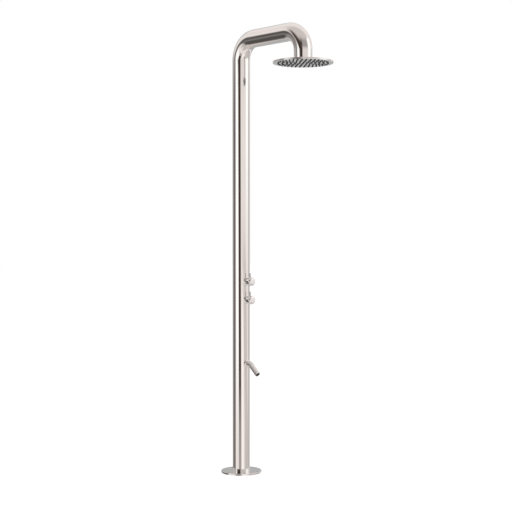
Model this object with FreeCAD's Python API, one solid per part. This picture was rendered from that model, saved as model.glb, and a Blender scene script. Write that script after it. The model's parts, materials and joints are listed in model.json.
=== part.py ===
import FreeCAD, Part
import math
import os

# Outdoor shower post in polished stainless steel. Lengths are in millimetres, angles in degrees.
# The origin is the centre of the base plate's underside. +Z is up, and the arm, the two knobs and the
# foot tap all face -Y.

Vector = FreeCAD.Vector
UP = Vector(0, 0, 1)
FRONT = Vector(0, -1, 0)
SIDE = Vector(1, 0, 0)

# ---------------------------------------------------------------- driving dimensions
# Tube of the post, the arm and the drop
TUBE_D = 88.9
TUBE_WALL = 2.0
ARM_HEIGHT = 2190.0         # centreline of the arm above the ground
BEND_RADIUS = 100.0         # centreline radius of both bends
REACH = 450.0               # from the post's axis to the head's axis
DROP_LENGTH = 51.3          # straight tube between the front bend and the rain head

# Base plate
PLATE_D = 205.0
PLATE_T = 10.0
PLATE_EDGE_ROUND = 1.5
SUPPLY_HOLE_D = 60.0
ANCHOR_COUNT = 6
ANCHOR_PCD = 168.0
ANCHOR_HOLE_D = 12.0
ANCHOR_CHAMFER = 1.5

# Rain head
HEAD_D = 290.0
SPRAY_PLATE_T = 1.5
NOZZLE_MAT_T = 1.5
WATER_GAP = 4.5
SHELL_T = 1.2
SHELL_EDGE_ROUND = 2.5
HEAD_SEAL_T = 1.5
SEAL_SETBACK = 0.5          # how far the seal stays inside the tube's outline
SEAL_LIP = 2.0              # how far it reaches inward past the tube's wall
HUB_D = 32.0
HUB_HEIGHT = 12.0
NOZZLE_RINGS = 6
NOZZLE_PITCH = 20.0         # step between rings of nozzles
NOZZLE_TURN = 54.0          # from +X to the first nozzle of each ring
NOZZLE_D = 8.0              # across the corners at the root
NOZZLE_TIP_D = 5.6
NOZZLE_DROP = 4.0           # how far a nozzle stands below the spray plate
NOZZLE_SIDES = 6
MAT_LIP_W = 4.0

# Water pipes inside the post
RISER_D = 15.0
FOOT_PIPE_D = 12.0
PIPE_WALL = 1.0
SOCKET_DEPTH = 14.0
THREAD_D = 20.9             # outside diameter of the half-inch connections
THREAD_BORE_D = 15.0
PLUG_T = 8.0
PLUG_GAP = 2.0              # between the head's hub and the plug above it
UNION_AF = 27.0
UNION_GRIP = 12.0
UNION_SHOULDER = 8.0        # union beyond the nipple's end, round the riser

# Water inlet at the foot of the post
INLET_LOW = 28.0            # lower end of the inlet thread above the ground
INLET_THREAD = 22.0
INLET_COLLAR_T = 8.0
BRACKET_T = 4.0
BRACKET_W = 36.0
INLET_NUT_T = 6.0
INLET_AF = 27.0
INLET_PROUD = 4.0           # nipple above its nut
INLET_SOCKET = 10.0         # depth of the supply pipe in the nipple

# Valves and knobs
FOOT_VALVE_Z = 880.0
VALVE_PITCH = 93.0          # from the foot tap's valve up to the shower's valve
BARREL_D = 36.0
BARREL_END = 30.0           # barrel beyond each valve's axis
BOSS_D = 34.0
NECK_D = 24.0
NECK_BORE_D = 18.0
NECK_DEPTH = 40.0           # depth of the bore behind the neck's end
NECK_PROUD = 1.0            # neck beyond the ring nut
BORE_END_GAP = 1.0          # behind the valve insert
FOOT_PORT_Y = -24.0
FOOT_PORT_D = 18.0
FOOT_PORT_DROP = 10.0
ROSE_D = 38.0
ROSE_T = 4.0                # thickness in front of the tube
ROSE_ROUND = 1.5
RING_NUT_WALL = 3.0         # ring nut's width round the neck
RING_NUT_T = 3.0
RING_NUT_SLOT_W = 4.0
RING_NUT_SLOT_DEPTH = 1.8
HEX_AF = 21.0
HEX_T = 4.0
SPINDLE_D = 8.0
SPINDLE_FLAT = 1.0
KNOB_D = 43.0
KNOB_LENGTH = 33.0
KNOB_FRONT_ROUND = 10.0
KNOB_BACK_ROUND = 6.0
KNOB_NECK_LENGTH = 6.0
KNOB_NECK_WALL = 1.4
KNOB_WALL = 2.0             # metal left in front of the spindle
PIN_D = 8.0                 # lever pin screwed into the knob's rim
PIN_HEIGHT = 20.5           # above the rim
PIN_DEPTH = 8.0             # below the rim
PIN_ROUND = 2.0
PIN_FROM_BACK = 12.0        # pin's axis from the drum's back
GRUB_D = 4.0
GRUB_LENGTH = 6.0

# Foot tap
TAP_Z = 557.0
TAP_D = 29.0
TAP_ROSE_D = 40.0
TAP_ROSE_T = 5.0
TAP_BARREL = 19.5           # from the rose's face to the elbow's centre
TAP_SHANK_D = 20.9
TAP_BORE_D = 13.0
TAP_NUT_AF = 27.0
TAP_NUT_T = 6.0
TAP_COLLAR = 15.0           # elbow's centre to the spout's joint
SPOUT_ANGLE = 41.0          # below level
SPOUT_D = 27.0
SPOUT_WALL = 2.0
SPOUT_REACH = 75.0          # elbow's centre to the mouth
AERATOR_T = 8.0
AERATOR_RECESS = 2.0
AERATOR_WALL = 2.0
AERATOR_BARS = 5
AERATOR_BAR_W = 1.0
AERATOR_BAR_T = 2.0
ELBOW_WALL = 3.0            # brass elbow behind the tap
ELBOW_GRIP = 11.0           # how far it reaches over the tap's shank
ELBOW_WEB = 2.0             # between the shank and the foot pipe's socket

# Clearances
HOLE_CLEARANCE = 0.3        # radial, round a fixed shank
SEAT_CLEARANCE = 0.1        # under a curved seat
RUN_CLEARANCE = 0.05        # radial, round a turning spindle
PIPE_CLEARANCE = 0.05       # radial, in a soldered or threaded socket
TURN_GAP = 0.6              # between a knob and what stands still

# ---------------------------------------------------------------- places worked out from these
TUBE_R = TUBE_D / 2
TUBE_BORE_R = TUBE_R - TUBE_WALL
BEND_Z = ARM_HEIGHT - BEND_RADIUS
ARM_START = -BEND_RADIUS
ARM_END = -(REACH - BEND_RADIUS)
DROP_END = BEND_Z - DROP_LENGTH
HEAD_TOP = DROP_END - HEAD_SEAL_T
SHELL_UNDER = HEAD_TOP - SHELL_T
MAT_Z = SHELL_UNDER - WATER_GAP - NOZZLE_MAT_T
HEAD_HEIGHT = MAT_Z - SPRAY_PLATE_T     # underside of the spray plate above the ground
PLUG_Z = HEAD_TOP + HUB_HEIGHT + PLUG_GAP
NIPPLE_TOP = PLUG_Z + PLUG_T + UNION_GRIP + PLUG_GAP
SHOWER_VALVE_Z = FOOT_VALVE_Z + VALVE_PITCH
BARREL_TOP = SHOWER_VALVE_Z + BARREL_END
BARREL_BOTTOM = FOOT_VALVE_Z - BARREL_END
ROSE_FACE = TUBE_R + ROSE_T
RING_NUT_D = NECK_D + 2 * RING_NUT_WALL
NECK_END = ROSE_FACE + RING_NUT_T + NECK_PROUD
HEX_FACE = NECK_END + HEX_T
KNOB_RECESS_D = RING_NUT_D + 2 * TURN_GAP
KNOB_NECK_D = KNOB_RECESS_D + 2 * KNOB_NECK_WALL
KNOB_NECK_BACK = ROSE_FACE + TURN_GAP
KNOB_BACK = KNOB_NECK_BACK + KNOB_NECK_LENGTH
KNOB_FACE_OUT = KNOB_BACK + KNOB_LENGTH     # knob's end face from the post's axis
SPINDLE_END = KNOB_FACE_OUT - KNOB_FRONT_ROUND - KNOB_WALL
PIN_OUT = KNOB_BACK + PIN_FROM_BACK
COLLAR_Z = INLET_LOW + INLET_THREAD
BRACKET_Z = COLLAR_Z + INLET_COLLAR_T
INLET_TOP = BRACKET_Z + BRACKET_T + INLET_NUT_T + INLET_PROUD
SHANK_END = -FOOT_PORT_Y - FOOT_PIPE_D / 2          # inner end of the tap's shank
FOOT_PIPE_LOW = TAP_Z + TAP_SHANK_D / 2 + ELBOW_WEB
TAP_ELBOW_OUT = TUBE_R + TAP_ROSE_T + TAP_BARREL
TAP_ELBOW = Vector(0, -TAP_ELBOW_OUT, TAP_Z)
SPOUT_AXIS = Vector(0, -math.cos(math.radians(SPOUT_ANGLE)), -math.sin(math.radians(SPOUT_ANGLE)))
HEAD_AXIS = Vector(0, -REACH, 0)


def seat_depth(radius_of_seat, radius_of_tube):
    """Distance from the tube's axis to the plane where a round seat's edge meets the tube."""
    return math.sqrt(radius_of_tube ** 2 - radius_of_seat ** 2)


# ---------------------------------------------------------------- shared shapes
def rod(diameter, length, start, direction=UP):
    return Part.makeCylinder(diameter / 2, length, start, direction)


def ring(outer_d, inner_d, length, start, direction=UP):
    return rod(outer_d, length, start, direction).cut(rod(inner_d, length, start, direction))


def hexagon(across_flats, length, start, direction=UP):
    corner = across_flats / math.sqrt(3)
    points = [Vector(corner * math.cos(math.radians(60 * i)), corner * math.sin(math.radians(60 * i)), 0)
              for i in range(7)]
    prism = Part.Face(Part.makePolygon(points)).extrude(Vector(0, 0, length))
    return placed(prism, start, direction)


def placed(shape, start, direction):
    """Carry a shape built along +Z at the origin to start, with its +Z along direction."""
    turn = FreeCAD.Rotation(UP, direction)
    return shape.transformGeometry(FreeCAD.Placement(start, turn).toMatrix())


def turned(profile, start=Vector(0, 0, 0), direction=UP):
    """Revolve a closed list of (radius, height) corners about +Z, then place it."""
    points = [Vector(r, 0, z) for r, z in profile + profile[:1]]
    solid = Part.Face(Part.makePolygon(points)).revolve(Vector(0, 0, 0), UP, 360)
    return placed(solid, start, direction)


def rounded(shape, radius, wanted):
    """Fillet the edges that the test picks."""
    edges = [edge for edge in shape.Edges if wanted(edge)]
    return shape.makeFillet(radius, edges)


def circle_at(edge, height, radius, axis=UP):
    """True for a full circle of this radius whose plane lies at this height along the axis."""
    if not isinstance(edge.Curve, Part.Circle):
        return False
    along = edge.Curve.Center.dot(axis)
    return abs(along - height) < 0.01 and abs(edge.Curve.Radius - radius) < 0.01


def bend(outer_d, inner_d, start, toward, centre):
    """Quarter bend about +X of a round pipe whose first end lies at start and faces toward."""
    outer = Part.Face(Part.Wire(Part.makeCircle(outer_d / 2, start, toward)))
    solid = outer.revolve(centre, SIDE, 90)
    inner = Part.Face(Part.Wire(Part.makeCircle(inner_d / 2, start, toward)))
    return solid.cut(inner.revolve(centre, SIDE, 90))


def rear_bend(outer_d, inner_d):
    return bend(outer_d, inner_d, Vector(0, 0, BEND_Z), UP, Vector(0, ARM_START, BEND_Z))


def front_bend(outer_d, inner_d):
    return bend(outer_d, inner_d, Vector(0, ARM_END, ARM_HEIGHT), FRONT, Vector(0, ARM_END, BEND_Z))


# ---------------------------------------------------------------- base, post, arm and drop
def base_plate():
    plate = rod(PLATE_D, PLATE_T, Vector(0, 0, 0))
    plate = rounded(plate, PLATE_EDGE_ROUND, lambda edge: circle_at(edge, PLATE_T, PLATE_D / 2))
    plate = plate.cut(rod(SUPPLY_HOLE_D, PLATE_T, Vector(0, 0, 0)))
    chamfer = Part.makeCone(ANCHOR_HOLE_D / 2, ANCHOR_HOLE_D / 2 + ANCHOR_CHAMFER, ANCHOR_CHAMFER,
                            Vector(0, 0, PLATE_T - ANCHOR_CHAMFER))
    hole = rod(ANCHOR_HOLE_D, PLATE_T, Vector(0, 0, 0)).fuse(chamfer)
    hole.translate(Vector(ANCHOR_PCD / 2, 0, 0))
    for index in range(ANCHOR_COUNT):
        copy = hole.copy()
        copy.rotate(Vector(0, 0, 0), UP, 360 * index / ANCHOR_COUNT)
        plate = plate.cut(copy)
    return plate


def post_tube():
    tube = ring(TUBE_D, 2 * TUBE_BORE_R, BEND_Z - PLATE_T, Vector(0, 0, PLATE_T))
    holes = [(SHOWER_VALVE_Z, NECK_D), (FOOT_VALVE_Z, NECK_D), (TAP_Z, TAP_SHANK_D)]
    for height, diameter in holes:
        tube = tube.cut(rod(diameter + 2 * HOLE_CLEARANCE, TUBE_R, Vector(0, 0, height), FRONT))
    return tube


def arm_tube():
    return ring(TUBE_D, 2 * TUBE_BORE_R, ARM_START - ARM_END, Vector(0, ARM_START, ARM_HEIGHT), FRONT)


def drop_tube():
    return ring(TUBE_D, 2 * TUBE_BORE_R, BEND_Z - DROP_END, HEAD_AXIS + Vector(0, 0, DROP_END))


def drop_plug():
    plug_d = 2 * (TUBE_BORE_R - PIPE_CLEARANCE)
    return ring(plug_d, THREAD_D + 2 * PIPE_CLEARANCE, PLUG_T, HEAD_AXIS + Vector(0, 0, PLUG_Z))


# ---------------------------------------------------------------- rain head
def nozzle_places():
    """Centre nozzle, then rings of 6, 12, 18 and so on."""
    places = [(0.0, 0.0)]
    for row in range(1, NOZZLE_RINGS + 1):
        for step in range(6 * row):
            angle = 2 * math.pi * step / (6 * row) + math.radians(NOZZLE_TURN)
            places.append((row * NOZZLE_PITCH * math.cos(angle), row * NOZZLE_PITCH * math.sin(angle)))
    return places


def head_shell():
    top = HEAD_TOP - HEAD_HEIGHT
    shell = rod(HEAD_D, top, HEAD_AXIS + Vector(0, 0, HEAD_HEIGHT))
    shell = rounded(shell, SHELL_EDGE_ROUND, lambda edge: circle_at(edge, HEAD_TOP, HEAD_D / 2))
    inside = rod(HEAD_D - 2 * SHELL_T, top - SHELL_T, HEAD_AXIS + Vector(0, 0, HEAD_HEIGHT))
    inside = rounded(inside, SHELL_EDGE_ROUND - SHELL_T,
                     lambda edge: circle_at(edge, SHELL_UNDER, HEAD_D / 2 - SHELL_T))
    return shell.cut(inside).cut(rod(THREAD_BORE_D, top, HEAD_AXIS + Vector(0, 0, HEAD_HEIGHT)))


def head_hub():
    hub = rod(HUB_D, HUB_HEIGHT, HEAD_AXIS + Vector(0, 0, HEAD_TOP))
    hub = hub.cut(rod(THREAD_BORE_D, HUB_HEIGHT, HEAD_AXIS + Vector(0, 0, HEAD_TOP)))
    thread = rod(THREAD_D + 2 * PIPE_CLEARANCE, HUB_HEIGHT, HEAD_AXIS + Vector(0, 0, HEAD_TOP + PLUG_GAP))
    return hub.cut(thread)


def spray_plate():
    radius = HEAD_D / 2 - SHELL_T - PIPE_CLEARANCE
    wires = [Part.Wire(Part.makeCircle(radius))]
    hole_r = NOZZLE_D / 2 + SEAT_CLEARANCE
    wires += [Part.Wire(Part.makeCircle(hole_r, Vector(x, y, 0))) for x, y in nozzle_places()]
    plate = Part.Face(wires, "Part::FaceMakerBullseye").extrude(Vector(0, 0, SPRAY_PLATE_T))
    plate.translate(HEAD_AXIS + Vector(0, 0, HEAD_HEIGHT))
    return plate


def many_sided(diameter, height, centre_x, centre_y):
    """Regular polygon wire for one nozzle's section."""
    points = []
    for side in range(NOZZLE_SIDES + 1):
        angle = 2 * math.pi * side / NOZZLE_SIDES
        points.append(Vector(centre_x + diameter / 2 * math.cos(angle),
                             centre_y + diameter / 2 * math.sin(angle), height))
    return Part.makePolygon(points)


def nozzle_mat():
    """Silicone sheet with a raised sealing lip and one short taper for each hole of the spray plate."""
    radius = HEAD_D / 2 - SHELL_T - 2 * PIPE_CLEARANCE
    lip_top = NOZZLE_MAT_T + WATER_GAP
    lip_r = radius - SHELL_EDGE_ROUND
    mat = turned([(0, 0), (radius, 0), (radius, NOZZLE_MAT_T), (lip_r, NOZZLE_MAT_T), (lip_r, lip_top),
                  (lip_r - MAT_LIP_W, lip_top), (lip_r - MAT_LIP_W, NOZZLE_MAT_T), (0, NOZZLE_MAT_T)])
    tip = -(SPRAY_PLATE_T + NOZZLE_DROP)
    root = NOZZLE_MAT_T / 2
    nozzles = [Part.makeLoft([many_sided(NOZZLE_TIP_D, tip, x, y), many_sided(NOZZLE_D, 0, x, y),
                              many_sided(NOZZLE_D, root, x, y)], True, True)
               for x, y in nozzle_places()]
    mat = mat.multiFuse(nozzles)
    mat.translate(HEAD_AXIS + Vector(0, 0, MAT_Z))
    return mat


def head_seal():
    outer = TUBE_D - 2 * SEAL_SETBACK
    return ring(outer, 2 * (TUBE_BORE_R - SEAL_LIP), HEAD_SEAL_T, HEAD_AXIS + Vector(0, 0, HEAD_TOP))


def head_nipple():
    low = HEAD_TOP + PLUG_GAP
    return ring(THREAD_D, THREAD_BORE_D, NIPPLE_TOP - low, HEAD_AXIS + Vector(0, 0, low))


def riser_union():
    low = NIPPLE_TOP - UNION_GRIP
    nut = hexagon(UNION_AF, UNION_GRIP + UNION_SHOULDER, HEAD_AXIS + Vector(0, 0, low))
    nut = nut.cut(rod(THREAD_D + 2 * PIPE_CLEARANCE, UNION_GRIP, HEAD_AXIS + Vector(0, 0, low)))
    pipe = rod(RISER_D + 2 * PIPE_CLEARANCE, UNION_GRIP + UNION_SHOULDER, HEAD_AXIS + Vector(0, 0, low))
    return nut.cut(pipe)


# ---------------------------------------------------------------- water pipes inside the post
def riser_pipe():
    """From the shower valve up the post, along the arm and down to the head's nipple."""
    bore = RISER_D - 2 * PIPE_WALL
    low = BARREL_TOP - SOCKET_DEPTH
    pieces = [ring(RISER_D, bore, BEND_Z - low, Vector(0, 0, low)),
              rear_bend(RISER_D, bore),
              ring(RISER_D, bore, ARM_START - ARM_END, Vector(0, ARM_START, ARM_HEIGHT), FRONT),
              front_bend(RISER_D, bore),
              ring(RISER_D, bore, BEND_Z - NIPPLE_TOP, HEAD_AXIS + Vector(0, 0, NIPPLE_TOP))]
    return pieces[0].multiFuse(pieces[1:])


def supply_pipe():
    low = INLET_TOP - INLET_SOCKET
    high = BARREL_BOTTOM + SOCKET_DEPTH
    return ring(RISER_D, RISER_D - 2 * PIPE_WALL, high - low, Vector(0, 0, low))


def foot_pipe():
    high = FOOT_VALVE_Z - BOSS_D / 2 - FOOT_PORT_DROP + SOCKET_DEPTH
    start = Vector(0, FOOT_PORT_Y, FOOT_PIPE_LOW)
    return ring(FOOT_PIPE_D, FOOT_PIPE_D - 2 * PIPE_WALL, high - FOOT_PIPE_LOW, start)


def inlet_nipple():
    """Threaded inlet with a hexagon under the bracket and a socket for the supply pipe."""
    body = rod(THREAD_D, INLET_TOP - INLET_LOW, Vector(0, 0, INLET_LOW))
    body = body.fuse(hexagon(INLET_AF, INLET_COLLAR_T, Vector(0, 0, COLLAR_Z)))
    body = body.cut(rod(RISER_D - 2 * PIPE_WALL, INLET_TOP - INLET_LOW, Vector(0, 0, INLET_LOW)))
    socket_low = Vector(0, 0, INLET_TOP - INLET_SOCKET)
    return body.cut(rod(RISER_D + 2 * PIPE_CLEARANCE, INLET_SOCKET, socket_low))


def inlet_bracket():
    """Flat bar across the post's bore, with the inlet's hole in its middle."""
    span = 2 * TUBE_BORE_R
    bar = Part.makeBox(span, BRACKET_W, BRACKET_T, Vector(-span / 2, -BRACKET_W / 2, BRACKET_Z))
    bar = bar.common(rod(2 * (TUBE_BORE_R - PIPE_CLEARANCE), BRACKET_T, Vector(0, 0, BRACKET_Z)))
    return bar.cut(rod(THREAD_D + 2 * PIPE_CLEARANCE, BRACKET_T, Vector(0, 0, BRACKET_Z)))


def inlet_nut():
    low = Vector(0, 0, BRACKET_Z + BRACKET_T)
    return hexagon(INLET_AF, INLET_NUT_T, low).cut(rod(THREAD_D + 2 * PIPE_CLEARANCE, INLET_NUT_T, low))


# ---------------------------------------------------------------- valves and knobs
def valve_manifold():
    """Brass body inside the post: one barrel, two bosses with necks through the tube, three sockets."""
    body = rod(BARREL_D, BARREL_TOP - BARREL_BOTTOM, Vector(0, 0, BARREL_BOTTOM))
    boss_face = seat_depth(BOSS_D / 2, TUBE_BORE_R) - HOLE_CLEARANCE
    for height in (SHOWER_VALVE_Z, FOOT_VALVE_Z):
        body = body.fuse(rod(BOSS_D, boss_face, Vector(0, 0, height), FRONT))
        body = body.fuse(rod(NECK_D, NECK_END, Vector(0, 0, height), FRONT))
    port_low = FOOT_VALVE_Z - BOSS_D / 2 - FOOT_PORT_DROP
    body = body.fuse(rod(FOOT_PORT_D, FOOT_PORT_DROP + BOSS_D / 2, Vector(0, FOOT_PORT_Y, port_low)))
    for height in (SHOWER_VALVE_Z, FOOT_VALVE_Z):
        bore_start = Vector(0, -(NECK_END - NECK_DEPTH), height)
        body = body.cut(rod(NECK_BORE_D, NECK_DEPTH, bore_start, FRONT))
    socket_d = RISER_D + 2 * PIPE_CLEARANCE
    body = body.cut(rod(socket_d, SOCKET_DEPTH, Vector(0, 0, BARREL_TOP - SOCKET_DEPTH)))
    body = body.cut(rod(socket_d, SOCKET_DEPTH, Vector(0, 0, BARREL_BOTTOM)))
    foot_socket = rod(FOOT_PIPE_D + 2 * PIPE_CLEARANCE, SOCKET_DEPTH, Vector(0, FOOT_PORT_Y, port_low))
    return body.cut(foot_socket)


def rose(diameter, thickness, hole_d, height):
    """Round cover plate whose back is hollowed to sit on the tube."""
    face = TUBE_R + thickness
    plate = rod(diameter, face, Vector(0, 0, height), FRONT)
    plate = rounded(plate, ROSE_ROUND, lambda edge: circle_at(edge, face, diameter / 2, FRONT))
    tube = rod(TUBE_D + 2 * SEAT_CLEARANCE, 2 * diameter, Vector(0, 0, height - diameter))
    return plate.cut(tube).cut(rod(hole_d + 2 * HOLE_CLEARANCE, face, Vector(0, 0, height), FRONT))


def ring_nut(height):
    """Slotted round nut that pulls the valve's neck out against the rose."""
    start = Vector(0, -ROSE_FACE, height)
    nut = ring(RING_NUT_D, NECK_D + 2 * PIPE_CLEARANCE, RING_NUT_T, start, FRONT)
    slot = Part.makeBox(RING_NUT_D, RING_NUT_T, RING_NUT_SLOT_W,
                        Vector(-RING_NUT_D / 2, -ROSE_FACE - RING_NUT_T, height - RING_NUT_SLOT_W / 2))
    keep = rod(RING_NUT_D - 2 * RING_NUT_SLOT_DEPTH, RING_NUT_T, start, FRONT)
    return nut.cut(slot.cut(keep))


def cartridge(height):
    """Ceramic-disc valve insert: body in the neck's bore, hexagon against the neck's end."""
    depth = NECK_DEPTH - BORE_END_GAP
    body = rod(NECK_BORE_D - 2 * PIPE_CLEARANCE, depth, Vector(0, -(NECK_END - depth), height), FRONT)
    body = body.fuse(hexagon(HEX_AF, HEX_T, Vector(0, -NECK_END, height), FRONT))
    spindle_hole = rod(SPINDLE_D + 2 * RUN_CLEARANCE, HEX_FACE, Vector(0, -NECK_END / 2, height), FRONT)
    return body.cut(spindle_hole)


def spindle(height):
    """Turning shaft from the valve insert into the knob, with a flat under the grub screw."""
    start = NECK_END / 2 + TURN_GAP
    shaft = rod(SPINDLE_D, SPINDLE_END - start, Vector(0, -start, height), FRONT)
    flat = Part.makeBox(SPINDLE_D, SPINDLE_END - HEX_FACE - TURN_GAP, SPINDLE_FLAT,
                        Vector(-SPINDLE_D / 2, -SPINDLE_END, height - SPINDLE_D / 2))
    return shaft.cut(flat)


def knob(height):
    """Round hand knob: a drum with a deeply rounded front, on a hollow neck over nut and hexagon."""
    drum = rod(KNOB_D, KNOB_LENGTH, Vector(0, -KNOB_BACK, height), FRONT)
    drum = rounded(drum, KNOB_FRONT_ROUND, lambda edge: circle_at(edge, KNOB_FACE_OUT, KNOB_D / 2, FRONT))
    drum = rounded(drum, KNOB_BACK_ROUND, lambda edge: circle_at(edge, KNOB_BACK, KNOB_D / 2, FRONT))
    neck_start = Vector(0, -KNOB_NECK_BACK, height)
    drum = drum.fuse(rod(KNOB_NECK_D, KNOB_NECK_LENGTH + KNOB_BACK_ROUND, neck_start, FRONT))
    drum = drum.cut(rod(KNOB_RECESS_D, HEX_FACE + TURN_GAP - KNOB_NECK_BACK, neck_start, FRONT))
    drum = drum.cut(spindle_socket(height))
    drum = drum.cut(rod(PIN_D + 2 * PIPE_CLEARANCE, PIN_DEPTH + PIN_HEIGHT, pin_foot(height)))
    return drum.cut(rod(GRUB_D, KNOB_D / 2, Vector(0, -PIN_OUT, height), Vector(0, 0, -1)))


def spindle_socket(height):
    """Socket of the knob for the flatted end of the spindle."""
    length = SPINDLE_END - HEX_FACE - TURN_GAP
    width = SPINDLE_D + 2 * PIPE_CLEARANCE
    hole = rod(width, length, Vector(0, -SPINDLE_END + length, height), FRONT)
    flat = Part.makeBox(width, length, SPINDLE_FLAT, Vector(-width / 2, -SPINDLE_END, height - width / 2))
    return hole.cut(flat)


def pin_foot(height):
    """Bottom of the pin's hole in the knob's rim."""
    return Vector(0, -PIN_OUT, height + KNOB_D / 2 - PIN_DEPTH)


def knob_pin(height):
    """Short lever that stands up from the knob when the valve is shut."""
    pin = rod(PIN_D, PIN_DEPTH + PIN_HEIGHT, pin_foot(height))
    top = height + KNOB_D / 2 + PIN_HEIGHT
    return rounded(pin, PIN_ROUND, lambda edge: circle_at(edge, top, PIN_D / 2))


def grub_screw(height):
    """Set screw from below, against the spindle's flat."""
    low = height - SPINDLE_D / 2 + SPINDLE_FLAT - PIPE_CLEARANCE - GRUB_LENGTH
    body = rod(GRUB_D - 2 * PIPE_CLEARANCE, GRUB_LENGTH, Vector(0, -PIN_OUT, low))
    return body.cut(hexagon(GRUB_D / 2, GRUB_LENGTH / 3, Vector(0, -PIN_OUT, low)))


# ---------------------------------------------------------------- foot tap
def along_spout(distance):
    return TAP_ELBOW + SPOUT_AXIS * distance


def tap_body():
    """Shank through the tube, level barrel, round elbow and the start of the spout's arm."""
    face = TUBE_R + TAP_ROSE_T
    body = rod(TAP_SHANK_D, face - SHANK_END, Vector(0, -SHANK_END, TAP_Z), FRONT)
    body = body.fuse(rod(TAP_D, TAP_ELBOW_OUT - face, Vector(0, -face, TAP_Z), FRONT))
    body = body.fuse(Part.makeSphere(TAP_D / 2, TAP_ELBOW))
    body = body.fuse(rod(TAP_D, TAP_COLLAR, TAP_ELBOW, SPOUT_AXIS))
    body = body.cut(rod(TAP_BORE_D, TAP_ELBOW_OUT - SHANK_END, Vector(0, -SHANK_END, TAP_Z), FRONT))
    body = body.cut(Part.makeSphere(TAP_BORE_D / 2, TAP_ELBOW))
    return body.cut(rod(TAP_BORE_D, TAP_COLLAR, TAP_ELBOW, SPOUT_AXIS))


def spout():
    length = SPOUT_REACH - TAP_COLLAR
    tube = ring(SPOUT_D, SPOUT_D - 2 * SPOUT_WALL, length, along_spout(TAP_COLLAR), SPOUT_AXIS)
    end = ring(SPOUT_D, TAP_BORE_D, SPOUT_WALL, along_spout(TAP_COLLAR), SPOUT_AXIS)
    return tube.fuse(end)


def aerator():
    """Black insert in the spout's mouth: a ring with cross bars."""
    outer = SPOUT_D - 2 * SPOUT_WALL - 2 * PIPE_CLEARANCE
    start = along_spout(SPOUT_REACH - AERATOR_RECESS - AERATOR_T)
    inner = outer - 2 * AERATOR_WALL
    body = ring(outer, inner, AERATOR_T, start, SPOUT_AXIS)
    bars = []
    for index in range(AERATOR_BARS):
        offset = (index - (AERATOR_BARS - 1) / 2) * inner / (AERATOR_BARS + 1)
        corner = Vector(offset - AERATOR_BAR_W / 2, -outer / 2, AERATOR_T - AERATOR_BAR_T)
        bars.append(placed(Part.makeBox(AERATOR_BAR_W, outer, AERATOR_BAR_T, corner), start, SPOUT_AXIS))
    grid = bars[0].multiFuse(bars[1:]).common(rod(inner + AERATOR_WALL, AERATOR_T, start, SPOUT_AXIS))
    return body.fuse(grid)


def tap_nut():
    face = seat_depth(TAP_NUT_AF / math.sqrt(3), TUBE_BORE_R) - HOLE_CLEARANCE
    start = Vector(0, -(face - TAP_NUT_T), TAP_Z)
    nut = hexagon(TAP_NUT_AF, TAP_NUT_T, start, FRONT)
    return nut.cut(rod(TAP_SHANK_D + 2 * PIPE_CLEARANCE, TAP_NUT_T, start, FRONT))


def tap_elbow():
    """Brass elbow behind the tap, which takes the foot pipe from above."""
    outer = TAP_SHANK_D + 2 * ELBOW_WALL
    start = Vector(0, -(SHANK_END - ELBOW_WALL), TAP_Z)
    body = rod(outer, ELBOW_GRIP + ELBOW_WALL, start, FRONT)
    body = body.fuse(rod(FOOT_PORT_D, outer, Vector(0, FOOT_PORT_Y, TAP_Z)))
    body = body.cut(rod(TAP_SHANK_D + 2 * PIPE_CLEARANCE, TUBE_R, Vector(0, -SHANK_END, TAP_Z), FRONT))
    socket = rod(FOOT_PIPE_D + 2 * PIPE_CLEARANCE, outer, Vector(0, FOOT_PORT_Y, FOOT_PIPE_LOW))
    return body.cut(socket)


# ---------------------------------------------------------------- the assembly
def build():
    parts = {
        "base_plate": base_plate(),
        "post_tube": post_tube(),
        "rear_elbow": rear_bend(TUBE_D, 2 * TUBE_BORE_R),
        "arm_tube": arm_tube(),
        "front_elbow": front_bend(TUBE_D, 2 * TUBE_BORE_R),
        "drop_tube": drop_tube(),
        "drop_plug": drop_plug(),
        "head_seal": head_seal(),
        "head_hub": head_hub(),
        "head_shell": head_shell(),
        "nozzle_mat": nozzle_mat(),
        "spray_plate": spray_plate(),
        "head_nipple": head_nipple(),
        "riser_union": riser_union(),
        "riser_pipe": riser_pipe(),
        "supply_pipe": supply_pipe(),
        "foot_pipe": foot_pipe(),
        "inlet_nipple": inlet_nipple(),
        "inlet_bracket": inlet_bracket(),
        "inlet_nut": inlet_nut(),
        "valve_manifold": valve_manifold(),
        "tap_rose": rose(TAP_ROSE_D, TAP_ROSE_T, TAP_SHANK_D, TAP_Z),
        "tap_body": tap_body(),
        "tap_nut": tap_nut(),
        "tap_elbow": tap_elbow(),
        "spout": spout(),
        "aerator": aerator(),
    }
    for name, height in (("shower", SHOWER_VALVE_Z), ("foot", FOOT_VALVE_Z)):
        parts[name + "_rose"] = rose(ROSE_D, ROSE_T, NECK_D, height)
        parts[name + "_ring_nut"] = ring_nut(height)
        parts[name + "_cartridge"] = cartridge(height)
        parts[name + "_spindle"] = spindle(height)
        parts[name + "_knob"] = knob(height)
        parts[name + "_pin"] = knob_pin(height)
        parts[name + "_grub_screw"] = grub_screw(height)
    return parts


def main():
    os.makedirs("parts", exist_ok=True)
    for name, shape in build().items():
        solids = shape.Solids
        if len(solids) == 1:
            shape = solids[0]
        shape.exportStep(os.path.join("parts", name + ".step"))
        print(f"{name:20s} solids {len(solids)}  volume {shape.Volume / 1000:9.2f} cm3  valid {shape.isValid()}")


if __name__ == "__main__":
    main()
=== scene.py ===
# %% [markdown]
# # Outdoor shower post
# A tall tube of polished stainless steel stands on a round plate, bends over at the top and carries a
# flat rain head. Two turning knobs and a small tap face forward. The construction comes from a packed
# model that stays as it is, because its pieces already have their real size and place. This lesson
# dresses it: camera, finishes, fine pieces, and the studio that polished steel needs, because a mirror
# shows its surroundings and nothing else.

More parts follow.
